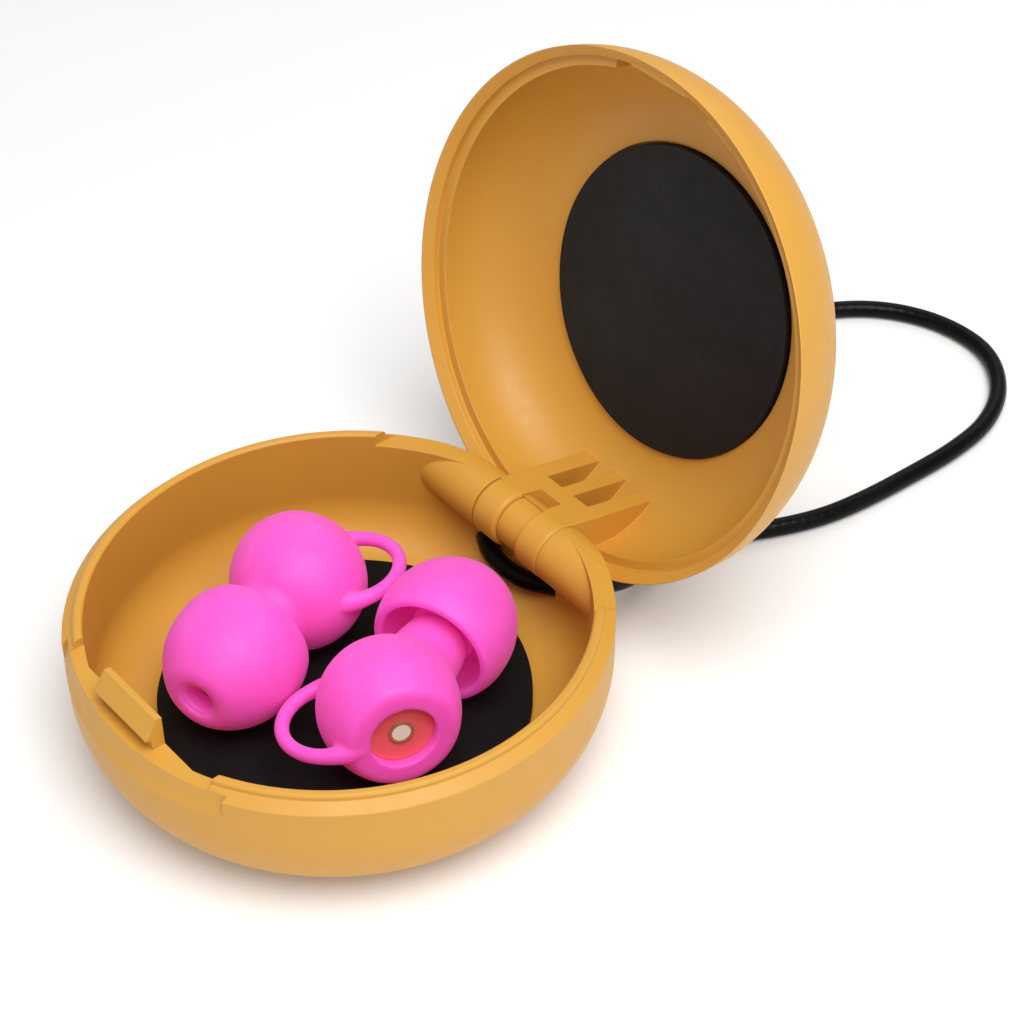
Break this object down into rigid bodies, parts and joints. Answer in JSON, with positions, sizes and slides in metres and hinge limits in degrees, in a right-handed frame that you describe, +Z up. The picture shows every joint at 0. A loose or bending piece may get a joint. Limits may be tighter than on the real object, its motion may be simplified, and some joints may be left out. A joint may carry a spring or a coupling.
{
  "type": "reusable ear plugs in a hinged carry case",
  "caption": "Flanged silicone ear plugs with ring handles and acoustic filters, in a round padded clamshell case with a latch and a cord loop.",
  "frame": {"origin": "centre of the case base's flat foot, on the surface it stands on", "axes": "+Z up out of the open base; +Y towards the hinge; +X along the hinge axis; the thumb notch and latch face -Y"},
  "size_m": [0.048, 0.1083, 0.0533],
  "materials": {
    "case_plastic": "satin moulded plastic, ochre",
    "pin_steel": "drawn steel wire",
    "adhesive": "thin clear adhesive film",
    "base_foam": "fine closed-cell foam, black",
    "lid_foam": "smooth foam rubber sheet, charcoal",
    "cord": "round elastic cord with a fine braided cover, black",
    "joiner_rubber": "smooth crimped sleeve, black",
    "plug_silicone": "soft matt silicone, hot pink",
    "tip_silicone": "thin matt silicone, hot pink",
    "filter_plastic": "smooth plastic, orange red",
    "filter_core": "smooth plastic, cream",
    "filter_ring": "smooth plastic, brown",
    "filter_mesh": "fine woven acoustic mesh, grey",
    "tube_plastic": "smooth stiff plastic, pink"
  },
  "bodies": {
    "base": {"base_shell": "case_plastic", "hinge_pin": "pin_steel", "base_pad_adhesive": "adhesive", "base_pad": "base_foam", "cord_loop": "cord", "cord_joiner": "joiner_rubber"},
    "lid": {"lid_shell": "case_plastic", "lid_pad_adhesive": "adhesive", "lid_pad": "lid_foam"},
    "left_plug": {"left_plug_body": "plug_silicone", "left_filter_housing": "filter_plastic", "left_filter_core": "filter_core", "left_filter_ring": "filter_ring", "left_filter_mesh": "filter_mesh", "left_sound_tube": "tube_plastic"},
    "left_tip": {"left_ear_tip": "tip_silicone"},
    "right_plug": {"right_plug_body": "plug_silicone", "right_filter_housing": "filter_plastic", "right_filter_core": "filter_core", "right_filter_ring": "filter_ring", "right_filter_mesh": "filter_mesh", "right_sound_tube": "tube_plastic"},
    "right_tip": {"right_ear_tip": "tip_silicone"}
  },
  "joints": [
    {"name": "lid_hinge", "type": "hinge", "parent": "base", "child": "lid", "pos_m": [0, 0.0212, 0.0103], "axis": [-1, 0, 0], "range_deg": [-104.5, 5]},
    {"name": "left_plug_lift", "type": "slide", "parent": "base", "child": "left_plug", "axis": [0, 0, 1], "range_m": [0, 0.03]},
    {"name": "right_plug_lift", "type": "slide", "parent": "base", "child": "right_plug", "axis": [0, 0, 1], "range_m": [0, 0.03]},
    {"name": "left_tip_turn", "type": "hinge", "parent": "left_plug", "child": "left_tip", "pos_m": [-0.00386, -0.00863, 0.00991], "axis": [0.3859, -0.9225, 0], "range_deg": [-180, 180]},
    {"name": "right_tip_turn", "type": "hinge", "parent": "right_plug", "child": "right_tip", "pos_m": [0.00531, 0.00754, 0.00991], "axis": [-0.3955, 0.9184, 0], "range_deg": [-180, 180]}
  ]
}
